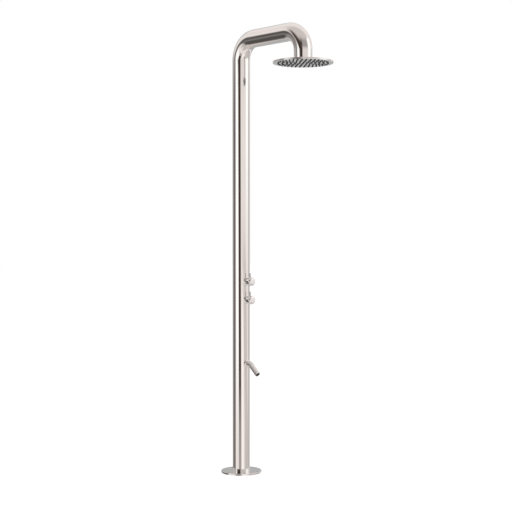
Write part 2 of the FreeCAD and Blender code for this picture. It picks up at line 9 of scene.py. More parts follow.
# %% Start from the fixed frame
import json
import math

import bmesh
import bpy
from mathutils import Matrix, Vector

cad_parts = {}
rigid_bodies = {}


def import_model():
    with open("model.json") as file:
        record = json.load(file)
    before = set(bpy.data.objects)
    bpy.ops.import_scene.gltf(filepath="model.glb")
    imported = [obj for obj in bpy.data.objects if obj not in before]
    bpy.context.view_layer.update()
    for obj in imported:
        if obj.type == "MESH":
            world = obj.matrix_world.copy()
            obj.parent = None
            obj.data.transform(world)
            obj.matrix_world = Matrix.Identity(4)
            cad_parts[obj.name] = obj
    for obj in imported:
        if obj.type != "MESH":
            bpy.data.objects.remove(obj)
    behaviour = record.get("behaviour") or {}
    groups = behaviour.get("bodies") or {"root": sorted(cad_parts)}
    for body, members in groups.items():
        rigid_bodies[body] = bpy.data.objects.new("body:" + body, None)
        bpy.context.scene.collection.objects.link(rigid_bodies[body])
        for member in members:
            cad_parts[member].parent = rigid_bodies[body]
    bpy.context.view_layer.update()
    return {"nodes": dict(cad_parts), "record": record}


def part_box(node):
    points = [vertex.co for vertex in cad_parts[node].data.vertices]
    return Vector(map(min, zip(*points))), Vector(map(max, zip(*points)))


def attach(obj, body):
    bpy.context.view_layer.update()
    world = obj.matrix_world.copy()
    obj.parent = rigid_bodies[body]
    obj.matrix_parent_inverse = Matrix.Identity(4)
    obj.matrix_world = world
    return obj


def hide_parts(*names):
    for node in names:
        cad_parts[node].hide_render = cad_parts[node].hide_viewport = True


for leftover in list(bpy.data.objects):
    bpy.data.objects.remove(leftover)
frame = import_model()
nodes = frame["nodes"]

# %% [markdown]
# ## The camera
# The picture was taken from about six metres away, a little above the knobs, 41 degrees round to the
# left of the arm. A long lens keeps the tall post nearly parallel. The camera could be moved about by
# eye until the outlines agree, but real angles and distances say more: it stands level in roll, is
# turned a touch to the right of the post and looks down by one degree.

# %% Camera
IMAGE_SIZE = 512                        # pixels
FOCAL_PIXELS = 1163.253
SENSOR = 36.0                           # millimetres
FOCAL = FOCAL_PIXELS / IMAGE_SIZE * SENSOR
CAMERA_TURN = math.radians(-41.0376)    # round the post from -Y, negative towards -X
CAMERA_DISTANCE = 5.9105
CAMERA_HEIGHT = 1.2128
CAMERA_PAN = math.radians(0.7246)       # to the right of the post's axis
CAMERA_TILT = math.radians(-1.0855)
NEAREST, FARTHEST = 0.05, 200           # what the camera shows, in metres

camera_data = bpy.data.cameras.new("camera")
camera_data.sensor_width = SENSOR
camera_data.lens = FOCAL
camera_data.clip_start = NEAREST
camera_data.clip_end = FARTHEST
camera = bpy.data.objects.new("camera", camera_data)
bpy.context.scene.collection.objects.link(camera)
camera.location = (CAMERA_DISTANCE * math.sin(CAMERA_TURN), -CAMERA_DISTANCE * math.cos(CAMERA_TURN),
                   CAMERA_HEIGHT)
camera.rotation_euler = (math.radians(90) + CAMERA_TILT, 0, CAMERA_TURN - CAMERA_PAN)
bpy.context.scene.camera = camera
bpy.context.scene.view_settings.view_transform = "Standard"
print("lens", round(FOCAL, 2), "mm, camera at", [round(value, 3) for value in camera.location])

# %% [markdown]
# ## Helpers for node trees
# Materials, the sky and the repeated pieces are all small trees of nodes. They can be put together by
# hand in the node editor, but written as code they are easy to repeat and to change. One helper adds a
# node and fills its sockets, whether with a number or with another node's output. The others write sums
# as Math nodes.

# %% Node helpers
def fill(tree, socket, value):
    """Links another node's output to the socket, or writes a plain value into it."""
    if isinstance(value, bpy.types.NodeSocket):
        tree.links.new(value, socket)
    else:
        socket.default_value = value


def add(tree, kind, **given):
    """Adds a node. Names with a capital are sockets to fill, and the others are the node's settings."""
    node = tree.nodes.new(kind)
    for name, value in given.items():
        if name[0].isupper():
            fill(tree, node.inputs[name.replace("_", " ")], value)
        else:
            setattr(node, name, value)
    return node


def maths(tree, operation, *values):
    """The result of one Math node."""
    node = add(tree, "ShaderNodeMath", operation=operation)
    for socket, value in zip(node.inputs, values):
        fill(tree, socket, value)
    return node.outputs[0]


def plus(tree, first, second):
    return maths(tree, "ADD", first, second)


def minus(tree, first, second):
    return maths(tree, "SUBTRACT", first, second)


def times(tree, first, second):
    return maths(tree, "MULTIPLY", first, second)


def times_plus(tree, value, factor, extra):
    return maths(tree, "MULTIPLY_ADD", value, factor, extra)


def span(tree, first, second):
    """The distance that two lengths at right angles to each other reach."""
    return maths(tree, "SQRT", plus(tree, times(tree, first, first), times(tree, second, second)))


def fade(tree, value, full, gone):
    """1 where the value is at full, 0 where it is at gone, smooth between them."""
    return add(tree, "ShaderNodeMapRange", interpolation_type="SMOOTHSTEP", Value=value,
               From_Min=full, From_Max=gone, To_Min=1.0, To_Max=0.0).outputs[0]


def vector(tree, x, y, z):
    return add(tree, "ShaderNodeCombineXYZ", X=x, Y=y, Z=z).outputs[0]


def split_vector(tree, place):
    parts = add(tree, "ShaderNodeSeparateXYZ", Vector=place).outputs
    return parts["X"], parts["Y"], parts["Z"]


def noise(tree, place, scale, detail):
    return add(tree, "ShaderNodeTexNoise", Vector=place, Scale=scale, Detail=detail).outputs[0]


# %% [markdown]
# ## Measures of the tube
# The finishes have to know where the bends begin and how tight they are. The lengths could be typed in,
# but the frame already has them: each piece's box gives its ends, and where the model changes, the
# finishes follow.

# %% Measures of the tube
post_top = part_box("post_tube")[1]
arm_low, arm_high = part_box("arm_tube")
drop_low, drop_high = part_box("drop_tube")
BEND_Z = post_top[2]                                    # where post and drop end and the bends begin
BEND_RADIUS = (arm_low[2] + arm_high[2]) / 2 - BEND_Z   # of the centre line
BEND_LENGTH = BEND_RADIUS * math.pi / 2                 # a quarter turn of the centre line
ARM_REAR_Y, ARM_FRONT_Y = arm_high[1], arm_low[1]
HEAD_Y = (drop_low[1] + drop_high[1]) / 2
print("bend radius", round(BEND_RADIUS, 4), "head axis at y", round(HEAD_Y, 4))

# %% [markdown]
# ## Where a point lies on a tube
# Polishing marks follow the piece they are on: they run round a tube, round a turned knob and round a
# plate's middle. Each finish therefore first works out three lengths from Object coordinates: how far
# along the run, and two across it. The pieces could be unwrapped instead, but with lengths in metres
# the marks have the same size on every piece. On a bend the run is an angle round the bend's centre, so
# the marks turn with the tube. On a turned piece it is the distance along the axis and away from it
# together, which gives rings.

# %% Coordinates that follow the piece
def object_place(tree):
    return add(tree, "ShaderNodeTexCoord").outputs["Object"]


# Each of the following gives a point's place in metres: along the run, across it and through it.
def along_z(tree):
    x, y, z = split_vector(tree, object_place(tree))
    return z, x, y


def along_y(tree):
    x, y, z = split_vector(tree, object_place(tree))
    return y, x, z


def round_bend(centre_y):
    """Along a bend, round a centre that lies under the arm's end and level with the post's top."""
    def follow(tree):
        x, y, z = split_vector(tree, object_place(tree))
        out, up = minus(tree, y, centre_y), minus(tree, z, BEND_Z)
        angle = maths(tree, "ARCTAN2", up, out)
        return times(tree, angle, BEND_RADIUS), span(tree, out, up), x
    return follow


def turned_round(axis_y, axis_z, lean=0.0):
    """Rings round an axis in the YZ plane that leans by an angle from -Y down towards -Z."""
    def follow(tree):
        x, y, z = split_vector(tree, object_place(tree))
        out, up = minus(tree, y, axis_y), minus(tree, z, axis_z)
        run = plus(tree, times(tree, out, -math.cos(lean)), times(tree, up, -math.sin(lean)))
        rise = plus(tree, times(tree, out, -math.sin(lean)), times(tree, up, math.cos(lean)))
        return plus(tree, run, span(tree, x, rise)), 0.0, 0.0
    return follow


def turned_upright(axis_y):
    """Rings round an upright axis, for the plates."""
    def follow(tree):
        x, y, z = split_vector(tree, object_place(tree))
        return plus(tree, z, span(tree, x, minus(tree, y, axis_y))), 0.0, 0.0
    return follow


# %% [markdown]
# ## What every finish shares
# A plain Principled shader with one colour and one roughness looks like computer graphics, because no
# real surface is that even. A picture of a worn surface would do, but it repeats and needs a file. So
# each finish starts from the plain shader and feeds noise into its colour, its roughness and, through a
# bump, its surface.

# %% Material helpers
def new_material(name, base, metallic, roughness):
    material = bpy.data.materials.new(name)
    material.use_nodes = True
    shader = material.node_tree.nodes["Principled BSDF"]
    shader.inputs["Base Color"].default_value = (*base, 1)
    shader.inputs["Metallic"].default_value = metallic
    shader.inputs["Roughness"].default_value = roughness
    material.diffuse_color = (*base, 1)
    return material, material.node_tree, shader


def toned(tree, shader, base, factor, low, high):
    """Colour between base * low and base * high, so that no surface is one flat colour."""
    darker = (*(channel * low for channel in base), 1)
    lighter = (*(min(1.0, channel * high) for channel in base), 1)
    mix = add(tree, "ShaderNodeMix", data_type="RGBA", Factor=factor, A=darker, B=lighter)
    fill(tree, shader.inputs["Base Color"], mix.outputs["Result"])


def bump(tree, height, depth, **under):
    """Normals of a surface that rises by the depth, in metres, where the height is 1."""
    node = add(tree, "ShaderNodeBump", Strength=1.0, Distance=depth, Height=height, **under)
    return node.outputs["Normal"]


# %% [markdown]
# ## Polished stainless steel
# Even a mirror polish is not perfect. Three things show it: very fine marks left by the polishing belt,
# a slow waviness of the wall that makes reflected edges swim a little, and hands and dried water, which
# dull the gloss in soft patches. A bump carries the first two and the roughness the third. The welds
# between the sections are ground flush, and only a narrow band with a slightly different gloss is left
# of them.

# %% Polished metal
MARK_REACH = 9.0                # changes to the metre along one mark
MARK_TONES = (0.985, 1.015)
MARK_DULL = 0.03                # roughness between the brightest and the dullest mark
PATCH_SCALE = 16.0              # patches to the metre
PATCH_EDGE = (0.66, 0.44)       # noise where a patch is full and where it is gone
SEAM_EDGE = (0.0015, 0.0035)    # metres from a weld where its band is full and where it is gone
SEAM_DULL = 0.06


def polished_metal(name, base, gloss, follow, marks=1400.0, mark_depth=6e-7, wave=7.0, wave_depth=6e-5,
                   smudge=0.05, seams=()):
    """Steel with fine marks across its run. Marks and waves are counted to the metre, depths are metres."""
    material, tree, shader = new_material(name, base, 1.0, gloss)
    place = object_place(tree)
    run, across, through = follow(tree)
    stretched = vector(tree, times(tree, run, marks), times(tree, across, MARK_REACH),
                       times(tree, through, MARK_REACH))
    lines = noise(tree, stretched, 1.0, 3.0)
    swell = noise(tree, place, wave, 1.0)
    patches = noise(tree, place, PATCH_SCALE, 5.0)
    toned(tree, shader, base, lines, *MARK_TONES)
    dull = times(tree, fade(tree, patches, *PATCH_EDGE), smudge)
    roughness = plus(tree, dull, times_plus(tree, lines, MARK_DULL, gloss - MARK_DULL / 2))
    for seam in seams:
        apart = maths(tree, "ABSOLUTE", minus(tree, run, seam))
        roughness = plus(tree, roughness, times(tree, fade(tree, apart, *SEAM_EDGE), SEAM_DULL))
    fill(tree, shader.inputs["Roughness"], roughness)
    waves = bump(tree, swell, wave_depth)
    fill(tree, shader.inputs["Normal"], bump(tree, lines, mark_depth, Normal=waves))
    return material


# %% [markdown]
# ## The five sections of the tube
# Post, two bends, arm and drop are the same steel, but the marks run another way on each, and the welds
# lie at other places. One material could choose between them by height and depth. Five short ones are
# easier to read, and a table says what differs.

# %% Finishes of the tube
TUBE_STEEL = (0.84, 0.825, 0.805)
TUBE_GLOSS = 0.05
tube_runs = {
    "post_tube": ("post steel", along_z, (BEND_Z,)),
    "drop_tube": ("drop steel", along_z, (BEND_Z,)),
    "arm_tube": ("arm steel", along_y, (ARM_FRONT_Y, ARM_REAR_Y)),
    "rear_elbow": ("rear bend steel", round_bend(ARM_REAR_Y), (0.0, BEND_LENGTH)),
    "front_elbow": ("front bend steel", round_bend(ARM_FRONT_Y), (BEND_LENGTH, 2 * BEND_LENGTH)),
}
piece_finish = {}
for node, (label, follow, seams) in tube_runs.items():
    piece_finish[node] = polished_metal(label, TUBE_STEEL, TUBE_GLOSS, follow, seams=seams)
print("tube finishes", sorted(piece_finish))

# %% [markdown]
# ## Turned steel
# The knobs, the tap and the roses come from a lathe, so their marks are rings round their own axis. The
# lever pins are plain rods. The same function serves them all, with other numbers and another set of
# coordinates. The spout leans, and its rings lean with it.

# %% Turned pieces
def box_middle(name):
    low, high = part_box(name)
    return [(a + b) / 2 for a, b in zip(low, high)]


LATHE_MARKS = {"marks": 2500, "mark_depth": 8e-7, "wave": 30, "wave_depth": 1e-5, "smudge": 0.06}
PIN_MARKS = {"marks": 2500, "mark_depth": 8e-7, "wave": 60, "wave_depth": 5e-6, "smudge": 0.05}
LATHE_GLOSS, PIN_GLOSS = 0.06, 0.12
KNOB_STEEL = (0.84, 0.84, 0.83)
PIN_STEEL = (0.55, 0.545, 0.54)
TAP_STEEL = (0.82, 0.81, 0.80)
TAP_Z = box_middle("tap_rose")[2]
TAP_BARREL = 0.0195                                 # from the rose's face to the bend of the tap
TAP_BEND_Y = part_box("tap_rose")[0][1] - TAP_BARREL
SPOUT_LEAN = math.radians(41)                       # below level
SPOUT_REACH = 0.075                                 # from the bend to the mouth

for control in ("shower", "foot"):
    rings = turned_round(0.0, box_middle(control + "_spindle")[2])
    knob_steel = polished_metal(control + " knob steel", KNOB_STEEL, LATHE_GLOSS, rings, **LATHE_MARKS)
    for part in ("_knob", "_rose", "_ring_nut"):
        piece_finish[control + part] = knob_steel
    piece_finish[control + "_pin"] = polished_metal(control + " pin steel", PIN_STEEL, PIN_GLOSS, along_z,
                                                    **PIN_MARKS)
tap_steel = polished_metal("tap steel", TAP_STEEL, LATHE_GLOSS, turned_round(0.0, TAP_Z), **LATHE_MARKS)
spout_steel = polished_metal("spout steel", TAP_STEEL, LATHE_GLOSS,
                             turned_round(TAP_BEND_Y, TAP_Z, SPOUT_LEAN), **LATHE_MARKS)
piece_finish.update(tap_rose=tap_steel, tap_body=tap_steel, spout=spout_steel)
print("tap bends at y", round(TAP_BEND_Y, 5), "z", round(TAP_Z, 4))

# %% [markdown]
# ## Plates polished in rings
# The base plate and the head's cover are flat work, polished in rings round their middle. A flat mirror
# shows one patch of the room at full strength, so a little more roughness keeps them as calm as in the
# photo. The cover is the duller of the two.

# %% Plates polished in rings
PLATE_STEEL, PLATE_GLOSS = (0.80, 0.79, 0.78), 0.11
HEAD_STEEL, HEAD_GLOSS = (0.76, 0.75, 0.735), 0.18
PLATE_MARKS = {"marks": 1800, "wave": 12, "wave_depth": 3e-5}
piece_finish["base_plate"] = polished_metal("plate steel", PLATE_STEEL, PLATE_GLOSS, turned_upright(0.0),
                                            mark_depth=1.5e-6, smudge=0.08, **PLATE_MARKS)
piece_finish["head_shell"] = polished_metal("head steel", HEAD_STEEL, HEAD_GLOSS, turned_upright(HEAD_Y),
                                            mark_depth=1e-6, smudge=0.05, **PLATE_MARKS)
print(len(piece_finish), "nodes have polished steel")

# %% [markdown]
# ## Brushed and drawn metal
# The spray plate is brushed in straight lines before its holes are cut. Stretching a noise does that:
# many changes across the lines and few along them. The same trick gives the pipes inside the post the
# long marks of the die they were drawn through, and with equal numbers all three ways it is the plain
# grain of machined brass.

# %% Brushed metal
LINE_TONES = (0.90, 1.10)
LINE_EDGE = (0.68, 0.32)        # noise of the palest and of the darkest line
LINE_DULL = 0.10                # roughness between the smoothest and the roughest line
LINE_DEPTH = 4e-6
CLOUD_SCALE, CLOUD_DULL = 25.0, 0.06


def brushed_metal(name, base, gloss, stretch):
    """Metal with a grain that changes as many times to the metre of X, Y and Z as stretch says."""
    material, tree, shader = new_material(name, base, 1.0, gloss)
    place = object_place(tree)
    counted = [times(tree, part, count) for part, count in zip(split_vector(tree, place), stretch)]
    lines = noise(tree, vector(tree, *counted), 1.0, 4.0)
    cloud = noise(tree, place, CLOUD_SCALE, 3.0)
    toned(tree, shader, base, fade(tree, lines, *LINE_EDGE), *LINE_TONES)
    middle = gloss - (LINE_DULL + CLOUD_DULL) / 2
    roughness = plus(tree, times(tree, lines, LINE_DULL), times_plus(tree, cloud, CLOUD_DULL, middle))
    fill(tree, shader.inputs["Roughness"], roughness)
    fill(tree, shader.inputs["Normal"], bump(tree, lines, LINE_DEPTH))
    return material


piece_finish["spray_plate"] = brushed_metal("spray plate steel", (0.78, 0.78, 0.77), 0.14,
                                            (8.0, 1500.0, 8.0))
drawn_steel = brushed_metal("drawn pipe steel", (0.62, 0.62, 0.62), 0.3, (1500.0, 1500.0, 6.0))
set_screw_steel = brushed_metal("set screw steel", (0.45, 0.45, 0.46), 0.3, (900.0, 900.0, 900.0))
brass = brushed_metal("machined brass", (0.72, 0.58, 0.32), 0.26, (700.0, 700.0, 700.0))
print("brushed and drawn:", drawn_steel.name, set_screw_steel.name, brass.name)

# %% [markdown]
# ## Rubber and plastic
# The nozzles are soft silicone, so that a thumb can rub lime off them: dark grey, matt, with a skin
# that is never quite even. The seal is a blacker rubber and the tap's insert a harder, slightly
# glossier plastic. A slow noise makes the colour paler in places, and a fine one gives the skin its
# grain.

# %% Moulded materials
MOULD_CLOUD = 45.0
MOULD_EDGE = (0.68, 0.38)       # noise where the skin is palest and where it has its own colour
MOULD_DULL = 0.12               # roughness between the smoothest and the roughest grain


def moulded(name, base, roughness, grain, depth, paler):
    """Grains are counted to the metre. Paler says how far the palest spots go beyond the base colour."""
    material, tree, shader = new_material(name, base, 0.0, roughness)
    place = object_place(tree)
    cloud = noise(tree, place, MOULD_CLOUD, 3.0)
    skin = noise(tree, place, grain, 2.0)
    toned(tree, shader, base, fade(tree, cloud, *MOULD_EDGE), 1.0, paler)
    uneven = times_plus(tree, skin, MOULD_DULL, roughness - MOULD_DULL / 2)
    fill(tree, shader.inputs["Roughness"], uneven)
    fill(tree, shader.inputs["Normal"], bump(tree, skin, depth))
    return material


silicone = moulded("nozzle silicone", (0.078, 0.079, 0.084), 0.48, 1800.0, 1.5e-5, 1.5)
seal_rubber = moulded("seal rubber", (0.03, 0.03, 0.03), 0.6, 2200.0, 2e-5, 1.3)
black_plastic = moulded("insert plastic", (0.015, 0.015, 0.016), 0.38, 2600.0, 8e-6, 1.4)
print("moulded:", silicone.name, seal_rubber.name, black_plastic.name)

# %% [markdown]
# ## Dress the nodes
# Every node of the frame gets exactly one material: its own finish where one was made above, and else
# the finish of its slot in the record. Replacing the whole list keeps no plain colour from the loaded
# model.

# %% Dress the nodes
slot_finish = {"inner_steel": drawn_steel, "screw_steel": set_screw_steel, "brass": brass,
               "silicone": silicone, "seal_rubber": seal_rubber, "black_plastic": black_plastic}
slot_of = {part["node"]: part["material_slot"] for part in frame["record"]["subparts"]}
for name, part in nodes.items():
    part.data.materials.clear()
    part.data.materials.append(piece_finish[name] if name in piece_finish else slot_finish[slot_of[name]])
print("dressed", len(nodes), "nodes,", len(piece_finish), "with a finish of their own")

# %% [markdown]
# ## The nozzles
# A rain head has one soft mat with a nozzle through every hole: a shoulder that fills the hole, a small
# bead under the plate, a taper and a round lip with the jet's bore. One nozzle is turned from a
# profile, which is the quickest way to any round piece. The first helpers do that, and run a tree of
# Geometry Nodes until a plain mesh is left.

# %% Helpers for solid pieces
SHARP = math.radians(40)        # a steeper edge than this is drawn sharp
MERGE = 1e-7                    # points nearer to each other than this become one


def lathe(name, profile, steps):
    """Turns a closed (radius, height) profile round Z. Points on the axis are merged."""
    turns = [2 * math.pi * step / steps for step in range(steps)]
    mesh = bpy.data.meshes.new(name)
    shape = bmesh.new()
    rings = [[shape.verts.new((radius * math.cos(turn), radius * math.sin(turn), height))
              for radius, height in profile] for turn in turns]
    for here, there in zip(rings, rings[1:] + rings[:1]):
        for low in range(len(profile)):
            high = (low + 1) % len(profile)
            if profile[low][0] or profile[high][0]:
                shape.faces.new([here[low], there[low], there[high], here[high]])
    bmesh.ops.remove_doubles(shape, verts=shape.verts, dist=MERGE)
    bmesh.ops.dissolve_degenerate(shape, edges=shape.edges, dist=MERGE)
    bmesh.ops.recalc_face_normals(shape, faces=shape.faces)
    for face in shape.faces:
        face.smooth = True
    for edge in shape.edges:
        edge.smooth = len(edge.link_faces) != 2 or edge.calc_face_angle(0) < SHARP
    shape.to_mesh(mesh)
    shape.free()
    return mesh


def made_piece(name, data):
    """An object in the scene, at the origin, with a mesh or a lamp as its data."""
    piece = bpy.data.objects.new(name, data)
    bpy.context.scene.collection.objects.link(piece)
    return piece


def new_tree(name, sockets):
    """A Geometry Nodes tree, with the outputs of its own inputs and the input of its result."""
    tree = bpy.data.node_groups.new(name, "GeometryNodeTree")
    for label, kind in sockets.items():
        tree.interface.new_socket(label, in_out="INPUT", socket_type="NodeSocket" + kind)
    tree.interface.new_socket("Geometry", in_out="OUTPUT", socket_type="NodeSocketGeometry")
    return tree, add(tree, "NodeGroupInput").outputs, add(tree, "NodeGroupOutput").inputs["Geometry"]


def joined(tree, *parts):
    join = add(tree, "GeometryNodeJoinGeometry")
    for part in parts:
        fill(tree, join.inputs[0], part)
    return join.outputs[0]


def give_result(tree, result, geometry, material):
    """Turns copies into real geometry, paints it and hands it to the tree's result."""
    real = add(tree, "GeometryNodeRealizeInstances", Geometry=geometry)
    paint = add(tree, "GeometryNodeSetMaterial", Geometry=real.outputs[0], Material=material)
    fill(tree, result, paint.outputs[0])


def run_tree(name, tree, settings):
    """Runs a Geometry Nodes tree on an empty piece and returns the result as a plain mesh piece."""
    carrier = made_piece(name, bpy.data.meshes.new(name))
    modifier = carrier.modifiers.new("tree", "NODES")
    modifier.node_group = tree
    for item in tree.interface.items_tree:
        if item.item_type == "SOCKET" and item.in_out == "INPUT" and item.name in settings:
            modifier[item.identifier] = settings[item.name]
    evaluated = carrier.evaluated_get(bpy.context.evaluated_depsgraph_get())
    mesh = bpy.data.meshes.new_from_object(evaluated)
    carrier.modifiers.remove(modifier)
    carrier.data = mesh
    mesh.name = name
    return carrier


# %% [markdown]
# ## A field of nozzles
# The nozzles stand in rings of 6, 12, 18 and so on round one in the middle. A loop could copy the
# nozzle 127 times, but a tree works it out from each point's index and needs no list. Without the one
# in the middle, ring r starts after 3 r (r - 1) points, so the ring follows from the index by a square
# root. Each nozzle leans by about a degree at most, another way for each, which keeps the soft pieces
# from looking stamped.

# %% Nozzle field tree
def places_in_rings(tree, given):
    """How many points there are, and where each one lies."""
    rings = given["Rings"]
    count = times_plus(tree, times(tree, rings, plus(tree, rings, 1.0)), 3.0, 1.0)
    index = minus(tree, add(tree, "GeometryNodeInputIndex").outputs[0], 1.0)
    root = maths(tree, "SQRT", times_plus(tree, maths(tree, "MAXIMUM", index, 0.0), 12.0, 9.0))
    ring = maths(tree, "FLOOR", maths(tree, "DIVIDE", plus(tree, root, 3.0), 6.0))
    ring = times(tree, ring, maths(tree, "GREATER_THAN", index, -0.5))
    before = times(tree, times(tree, ring, minus(tree, ring, 1.0)), 3.0)
    share = maths(tree, "DIVIDE", minus(tree, index, before), times(tree, ring, 6.0))
    angle = times_plus(tree, share, 2 * math.pi, given["First Angle"])
    away = times(tree, ring, given["Pitch"])
    from_centre = vector(tree, times(tree, away, maths(tree, "COSINE", angle)),
                         times(tree, away, maths(tree, "SINE", angle)), 0.0)
    place = add(tree, "ShaderNodeVectorMath", operation="ADD")
    fill(tree, place.inputs[0], from_centre)
    fill(tree, place.inputs[1], given["Centre"])
    return count, place.outputs[0]


def random_lean(tree, given):
    """A small lean and any turn round the nozzle's own axis. One seed always gives the same ones."""
    most = vector(tree, given["Tilt"], given["Tilt"], math.pi)
    least = add(tree, "ShaderNodeVectorMath", operation="SCALE", Vector=most, Scale=-1.0)
    return add(tree, "FunctionNodeRandomValue", data_type="FLOAT_VECTOR", Min=least.outputs[0], Max=most,
               Seed=given["Seed"]).outputs[0]


def nozzle_tree():
    tree, given, result = new_tree("nozzle field", {
        "Nozzle": "Object", "Mat": "Object", "Rings": "Int", "Pitch": "Float", "First Angle": "Float",
        "Centre": "Vector", "Tilt": "Float", "Seed": "Int", "Material": "Material"})
    count, place = places_in_rings(tree, given)
    points = add(tree, "GeometryNodePoints", Count=count, Position=place)
    nozzle = add(tree, "GeometryNodeObjectInfo", Object=given["Nozzle"])
    mat = add(tree, "GeometryNodeObjectInfo", Object=given["Mat"])
    field = add(tree, "GeometryNodeInstanceOnPoints", Points=points.outputs[0],
                Instance=nozzle.outputs["Geometry"], Rotation=random_lean(tree, given))
    both = joined(tree, field.outputs[0], mat.outputs["Geometry"])
    give_result(tree, result, both, given["Material"])
    return tree


# %% [markdown]
# ## One nozzle and its mat
# The mat in the frame has plain nozzles with flat sides. From far away that is enough, but up close a
# moulded nozzle is round, with a bead and a soft lip. Subdivision would round the whole mat, its
# straight edges too. So a finer piece takes the node's place: it keeps the mat's outline and height,
# which are read from the frame.

# %% Make the nozzles
RINGS = 6
RING_PITCH = 0.020
FIRST_ANGLE = math.radians(54)
MOST_TILT = math.radians(0.7)
NOZZLE_SEED = 3
HOLE_RADIUS = 0.0040        # of the shoulder, which fills the plate's hole
OVERLAP = 0.0008            # of the shoulder with the mat
MAT_THICKNESS = 0.0015
RIB_INSET, RIB_WIDTH = 0.0025, 0.004        # from the mat's edge, and across the rib
NOZZLE_STEPS, MAT_STEPS = 16, 96            # sides to a full turn
# Outlines of (radius, height). Heights count from the plate's underside, but in the lip from the tip.
BEAD = [(HOLE_RADIUS, 0.0), (0.0039, -0.0003), (0.0036, -0.0009)]
LIP = [(0.0029, 0.0005), (0.00265, 0.0001), (0.0023, 0.0), (0.0016, 0.0), (0.0013, 0.0004)]
BORE_END = [(0.0012, 0.0015), (0.0, 0.0018)]


def nozzle_mesh(plate_thickness, drop):
    """One nozzle round Z, with the plate's underside at 0 and the tip a drop lower."""
    top = plate_thickness + OVERLAP
    lip = [(radius, height - drop) for radius, height in LIP]
    return lathe("one_nozzle", [(0.0, top), (HOLE_RADIUS, top), *BEAD, *lip, *BORE_END], NOZZLE_STEPS)


def mat_mesh(radius, bottom, rib_top):
    """The sheet over the plate, with a rib near its rim that reaches up to the head's cover."""
    top = bottom + MAT_THICKNESS
    rib_out = radius - RIB_INSET
    rib_in = rib_out - RIB_WIDTH
    mesh = lathe("mat_sheet", [(0.0, bottom), (radius, bottom), (radius, top), (rib_out, top),
                               (rib_out, rib_top), (rib_in, rib_top), (rib_in, top), (0.0, top)], MAT_STEPS)
    mesh.transform(Matrix.Translation((0, HEAD_Y, 0)))
    return mesh


def nozzles():
    plate_low, plate_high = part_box("spray_plate")
    mat_low, mat_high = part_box("nozzle_mat")
    underside, plate_top, tip = plate_low[2], plate_high[2], mat_low[2]
    one = made_piece("one_nozzle", nozzle_mesh(plate_top - underside, underside - tip))
    sheet = made_piece("mat_sheet", mat_mesh((mat_high[0] - mat_low[0]) / 2, plate_top, mat_high[2]))
    piece = run_tree("silicone_nozzles", nozzle_tree(), {
        "Nozzle": one, "Mat": sheet, "Rings": RINGS, "Pitch": RING_PITCH, "First Angle": FIRST_ANGLE,
        "Centre": (0.0, HEAD_Y, underside), "Tilt": MOST_TILT, "Seed": NOZZLE_SEED, "Material": silicone})
    for helper in (one, sheet):
        bpy.data.objects.remove(helper)
    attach(piece, "post")
    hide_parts("nozzle_mat")
    print("nozzles:", len(piece.data.polygons), "faces, tips at", round(tip, 4))


nozzles()

# %% [markdown]
# ## The screen in the tap's mouth
# Behind the black bars of the tap's insert lies a disc of woven wire that mixes air into the jet. Each
# wire goes over one neighbour and under the next. A bump could only suggest that, so the wires are
# real: Geometry Nodes lays parallel lines, waves them up and down with the opposite phase on every
# second line, trims them to a circle and gives them a round section. The same lines, turned over and
# round by a quarter turn, cross them.

# %% Woven screen tree
STEPS_IN_A_MESH = 4.0       # pieces of wire from one crossing to the next
WIRE_SIDES = 5


def flat_wires(tree, given):
    """Parallel lines with a pitch between them, divided finely enough to be waved."""
    gaps = minus(tree, given["Wires"], 1.0)
    half = times(tree, gaps, times(tree, given["Pitch"], 0.5))
    back = times(tree, half, -1.0)
    wire = add(tree, "GeometryNodeCurvePrimitiveLine", Start=vector(tree, back, 0.0, 0.0),
               End=vector(tree, half, 0.0, 0.0))
    divided = add(tree, "GeometryNodeResampleCurve", Curve=wire.outputs[0],
                  Count=times_plus(tree, gaps, STEPS_IN_A_MESH, 1.0))
    starts = add(tree, "GeometryNodeMeshLine", Count=given["Wires"],
                 Start_Location=vector(tree, 0.0, back, 0.0), Offset=vector(tree, 0.0, given["Pitch"], 0.0))
    rows = add(tree, "GeometryNodeInstanceOnPoints", Points=starts.outputs[0], Instance=divided.outputs[0])
    return add(tree, "GeometryNodeRealizeInstances", Geometry=rows.outputs[0]).outputs[0]


def screen_tree():
    tree, given, result = new_tree("woven screen", {
        "Radius": "Float", "Pitch": "Float", "Wire": "Float", "Wires": "Int", "Material": "Material"})
    x, y, _ = split_vector(tree, add(tree, "GeometryNodeInputPosition").outputs[0])
    phase = times(tree, maths(tree, "DIVIDE", plus(tree, x, y), given["Pitch"]), math.pi)
    wave = vector(tree, 0.0, 0.0, times(tree, maths(tree, "COSINE", phase), given["Wire"]))
    waved = add(tree, "GeometryNodeSetPosition", Geometry=flat_wires(tree, given), Offset=wave)
    outside = maths(tree, "GREATER_THAN", span(tree, x, y), given["Radius"])
    trimmed = add(tree, "GeometryNodeDeleteGeometry", domain="POINT", Geometry=waved.outputs[0],
                  Selection=outside)
    crossing = add(tree, "GeometryNodeTransform", Geometry=trimmed.outputs[0],
                   Rotation=(0.0, math.pi, math.pi / 2))
    section = add(tree, "GeometryNodeCurvePrimitiveCircle", Resolution=WIRE_SIDES, Radius=given["Wire"])
    both_ways = joined(tree, trimmed.outputs[0], crossing.outputs[0])
    solid = add(tree, "GeometryNodeCurveToMesh", Curve=both_ways, Profile_Curve=section.outputs[0],
                Fill_Caps=True)
    give_result(tree, result, solid.outputs[0], given["Material"])
    return tree


# %% [markdown]
# ## Put the screen in its place
# The tree makes the screen flat, round the origin. The object could be turned and moved, but every
# piece here stays at the origin with its place in its mesh. So the mesh itself is turned to the spout's
# direction and moved to a little way behind the mouth.

